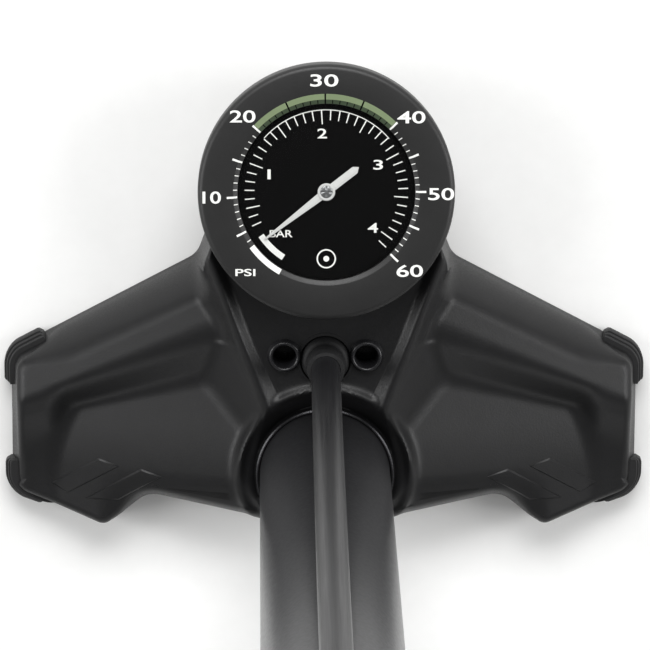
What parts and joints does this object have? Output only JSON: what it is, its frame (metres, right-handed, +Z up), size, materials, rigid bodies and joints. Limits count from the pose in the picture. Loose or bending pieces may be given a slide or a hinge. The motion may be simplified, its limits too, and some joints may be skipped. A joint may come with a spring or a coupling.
{
  "type": "floor pump",
  "caption": "Floor-standing bicycle pump: two-wing base with a big round gauge, barrel, cross handle, rubber hose and a lever-lock pump head clipped to the barrel.",
  "frame": {"origin": "middle of the pump's box on the floor", "axes": "+Z up the barrel, +Y towards the gauge, +X to the right for a rider who stands at -Y and reads the gauge"},
  "size_m": [0.2478, 0.2381, 0.6725],
  "materials": {
    "base_plastic": "fine-textured moulded black",
    "black_plastic": "satin moulded black",
    "bezel_plastic": "satin charcoal",
    "rubber": "matt black",
    "grip_rubber": "matt black",
    "hose_rubber": "smooth black",
    "barrel_paint": "satin dark grey",
    "ring_finish": "semi-gloss dark grey",
    "chrome": "polished",
    "steel": "plain",
    "brass": "plain",
    "alloy": "satin",
    "lens": "clear",
    "dial_black": "printed black",
    "pointer_white": "light grey",
    "head_plastic": "satin moulded black",
    "lever_plastic": "satin dark grey"
  },
  "bodies": {
    "base": {"air_manifold": "black_plastic", "barrel": "barrel_paint", "barrel_foot_seal": "rubber", "base_shell": "base_plastic", "bourdon_foot": "brass", "bourdon_tube": "brass", "bumper_front_left": "rubber", "bumper_front_right": "rubber", "bumper_rear_left": "rubber", "bumper_rear_right": "rubber", "check_seat": "brass", "check_spring": "steel", "collar_ring": "ring_finish", "dock_clamp": "black_plastic", "dock_screw": "steel", "floor_pads": "rubber", "gauge_bezel": "bezel_plastic", "gauge_dial": "dial_black", "gauge_housing": "black_plastic", "gauge_lens": "lens", "gauge_screws": "steel", "gauge_stem": "brass", "head_body": "head_plastic", "head_gasket": "rubber", "head_nut": "alloy", "hose": "hose_rubber", "hose_boot": "rubber", "hose_ferrule": "alloy", "hose_fitting": "brass", "hose_hook": "black_plastic", "lever_pin": "steel", "movement_frame": "brass", "rod_bush": "black_plastic", "rod_wiper": "rubber", "sector_pin": "steel", "top_cap": "black_plastic"},
    "plunger": {"piston": "black_plastic", "piston_seal": "rubber", "piston_washer": "steel", "piston_bolt": "steel", "piston_rod": "chrome", "buffer_ring": "rubber", "handle_core": "black_plastic", "grip_left": "grip_rubber", "grip_cap_left": "black_plastic", "grip_right": "grip_rubber", "grip_cap_right": "black_plastic", "handle_screw": "steel"},
    "needle": {"gauge_pointer": "pointer_white", "pointer_hub": "steel", "pinion_arbor": "brass"},
    "sector": {"sector_gear": "brass"},
    "valve_ball": {"check_ball": "steel"},
    "lever": {"head_lever": "lever_plastic"}
  },
  "joints": [
    {"name": "plunger_slide", "type": "slide", "parent": "base", "child": "plunger", "axis": [0, 0, 1], "range_m": [0, 0.48]},
    {"name": "sector_swing", "type": "hinge", "parent": "base", "child": "sector", "pos_m": [0, 0.05035, 0.04743], "axis": [0, 0.1305, 0.9914], "range_deg": [0, 25.5], "stiffness_Nm_per_rad": 0.002},
    {"name": "needle_sweep", "type": "hinge", "parent": "base", "child": "needle", "pos_m": [0, 0.06917, 0.05252], "axis": [0, -0.1305, -0.9914], "range_deg": [0, 261.7]},
    {"name": "ball_lift", "type": "slide", "parent": "base", "child": "valve_ball", "axis": [0, 1, 0], "range_m": [0, 0.002], "stiffness_N_per_m": 60},
    {"name": "lever_flip", "type": "hinge", "parent": "base", "child": "lever", "pos_m": [0.0135, -0.1085, 0.37], "axis": [0, -1, 0], "range_deg": [0, 90]}
  ],
  "couplings": [
    {"joint": "needle_sweep", "follows": "sector_swing", "ratio": 10.25}
  ]
}
